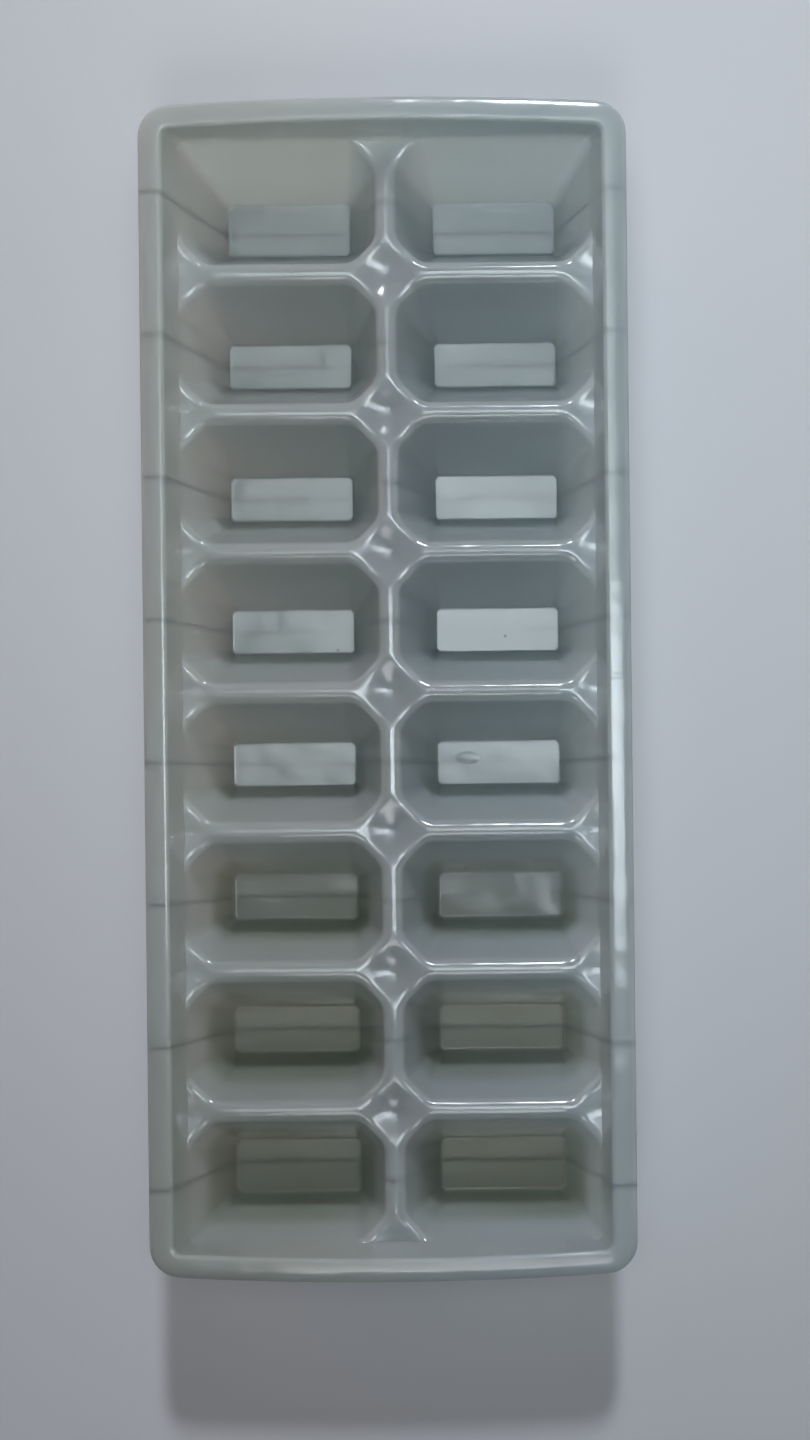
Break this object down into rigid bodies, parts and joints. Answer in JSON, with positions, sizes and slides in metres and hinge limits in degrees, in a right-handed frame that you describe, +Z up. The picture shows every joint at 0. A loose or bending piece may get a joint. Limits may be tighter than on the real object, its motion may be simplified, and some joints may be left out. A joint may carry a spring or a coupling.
{
  "type": "ice cube tray",
  "caption": "Flexible moulded ice cube tray with tapered wells under a broad rim; its rows twist against each other about the long axis to free the ice.",
  "frame": {"origin": "bottom centre of the tray, on the surface it stands on", "axes": "+Z up, +Y along the tray's length to row 1, +X to the right seen from above with row 1 at the top"},
  "size_m": [0.1156, 0.2804, 0.0345],
  "materials": {
    "plastic": "glossy, slightly translucent grey-white"
  },
  "bodies": {
    "row_1": {"tray_row_1": "plastic"},
    "row_2": {"tray_row_2": "plastic"},
    "row_3": {"tray_row_3": "plastic"},
    "row_4": {"tray_row_4": "plastic"},
    "row_5": {"tray_row_5": "plastic"},
    "row_6": {"tray_row_6": "plastic"},
    "row_7": {"tray_row_7": "plastic"},
    "row_8": {"tray_row_8": "plastic"}
  },
  "joints": [
    {"name": "twist_4_5", "type": "hinge", "parent": "row_4", "child": "row_5", "pos_m": [0, 0, 0.01725], "axis": [0, 1, 0], "range_deg": [-3.5, 3.5], "stiffness_Nm_per_rad": 8},
    {"name": "twist_5_6", "type": "hinge", "parent": "row_5", "child": "row_6", "pos_m": [0, -0.03364, 0.01725], "axis": [0, 1, 0], "range_deg": [-3.5, 3.5], "stiffness_Nm_per_rad": 8},
    {"name": "twist_6_7", "type": "hinge", "parent": "row_6", "child": "row_7", "pos_m": [0, -0.06728, 0.01725], "axis": [0, 1, 0], "range_deg": [-3.5, 3.5], "stiffness_Nm_per_rad": 8},
    {"name": "twist_7_8", "type": "hinge", "parent": "row_7", "child": "row_8", "pos_m": [0, -0.10092, 0.01725], "axis": [0, 1, 0], "range_deg": [-3.5, 3.5], "stiffness_Nm_per_rad": 8},
    {"name": "twist_4_3", "type": "hinge", "parent": "row_4", "child": "row_3", "pos_m": [0, 0.03364, 0.01725], "axis": [0, -1, 0], "range_deg": [-3.5, 3.5], "stiffness_Nm_per_rad": 8},
    {"name": "twist_3_2", "type": "hinge", "parent": "row_3", "child": "row_2", "pos_m": [0, 0.06728, 0.01725], "axis": [0, -1, 0], "range_deg": [-3.5, 3.5], "stiffness_Nm_per_rad": 8},
    {"name": "twist_2_1", "type": "hinge", "parent": "row_2", "child": "row_1", "pos_m": [0, 0.10092, 0.01725], "axis": [0, -1, 0], "range_deg": [-3.5, 3.5], "stiffness_Nm_per_rad": 8}
  ],
  "couplings": [
    {"joint": "twist_5_6", "follows": "twist_4_5", "ratio": 1},
    {"joint": "twist_6_7", "follows": "twist_4_5", "ratio": 1},
    {"joint": "twist_7_8", "follows": "twist_4_5", "ratio": 1},
    {"joint": "twist_4_3", "follows": "twist_4_5", "ratio": 1},
    {"joint": "twist_3_2", "follows": "twist_4_5", "ratio": 1},
    {"joint": "twist_2_1", "follows": "twist_4_5", "ratio": 1}
  ]
}
